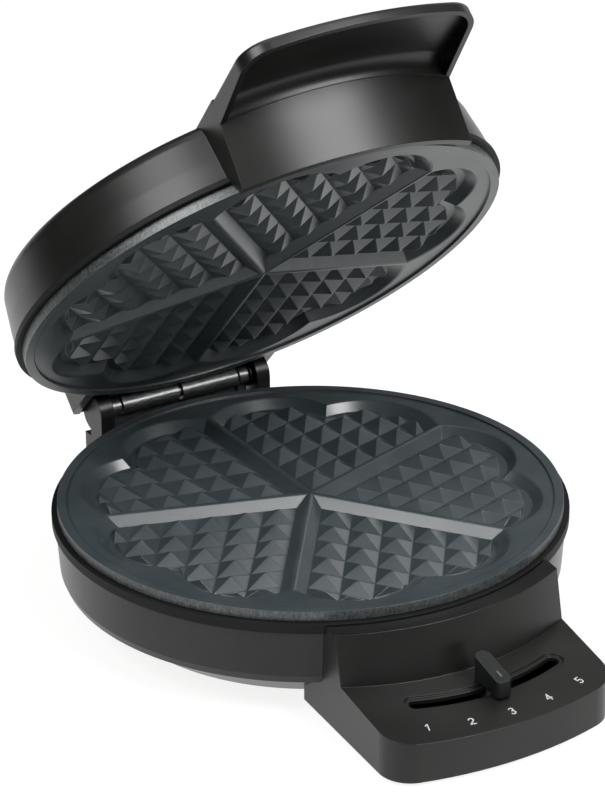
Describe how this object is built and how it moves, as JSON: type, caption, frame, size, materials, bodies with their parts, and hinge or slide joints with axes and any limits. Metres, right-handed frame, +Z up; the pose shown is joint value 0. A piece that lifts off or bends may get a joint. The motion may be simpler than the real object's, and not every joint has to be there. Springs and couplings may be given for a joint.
{
  "type": "waffle maker",
  "caption": "Electric waffle maker with round heart-pattern baking plates, a hinged lid with a hood handle and a sliding heat control on the front block.",
  "frame": {"origin": "centre of the bounding box in plan, on the surface that the feet stand on, with the lid open as stored", "axes": "+X to the user's right, +Y to the hinge at the back, +Z up; the control block and the handle point to -Y"},
  "size_m": [0.1964, 0.267, 0.245],
  "materials": {
    "housing_black": "satin",
    "knob_black": "satin",
    "ring_black": "matt",
    "rubber": "matt",
    "nonstick_cast": "satin non-stick coat",
    "hinge_steel": "satin black",
    "zinc_screws": "plated",
    "element_sheath": "heat-tinted",
    "reflector_sheet": "bright sheet",
    "plain_steel": "plain",
    "ceramic": "glazed steatite",
    "lead_sleeve": "woven glass sleeve",
    "print_white": "matt print",
    "lens_red": "clear tinted",
    "lamp_glass": "clear"
  },
  "bodies": {
    "base": {"base_housing": "housing_black", "bottom_cover": "housing_black", "rubber_feet": "rubber", "cover_screws": "zinc_screws", "lower_trim_ring": "ring_black", "lower_plate": "nonstick_cast", "lower_heating_element": "element_sheath", "lower_reflector": "reflector_sheet", "lower_plate_screws": "zinc_screws", "thermostat_body": "ceramic", "thermostat_bracket": "plain_steel", "scale_digits": "print_white", "terminal_block": "ceramic", "thermal_fuse": "plain_steel", "earth_terminal": "zinc_screws", "base_leads": "lead_sleeve", "cord_grommet": "ring_black", "base_hinge_bracket": "hinge_steel", "base_hinge_screws": "zinc_screws", "hinge_pin": "hinge_steel", "pin_clip": "hinge_steel", "lid_lead": "lead_sleeve"},
    "control": {"thermostat_spindle": "plain_steel", "control_lever": "plain_steel", "slider_knob": "knob_black", "knob_marker": "print_white"},
    "lid": {"lid_hinge_bracket": "hinge_steel", "lid_hinge_screws": "zinc_screws", "lid_housing": "housing_black", "handle_hood": "housing_black", "upper_trim_ring": "ring_black", "upper_plate": "nonstick_cast", "upper_heating_element": "element_sheath", "upper_reflector": "reflector_sheet", "upper_plate_screws": "zinc_screws", "pilot_lens": "lens_red", "pilot_lamp": "lamp_glass"}
  },
  "joints": [
    {"name": "lid_hinge", "type": "hinge", "parent": "base", "child": "lid", "pos_m": [0, 0.1153, 0.04505], "axis": [-1, 0, 0], "range_deg": [-46.2, 53.8]},
    {"name": "heat_control", "type": "hinge", "parent": "base", "child": "control", "pos_m": [0, -0.0221, 0.012], "axis": [0, 0, 1], "range_deg": [-18.3, 18.3]}
  ]
}
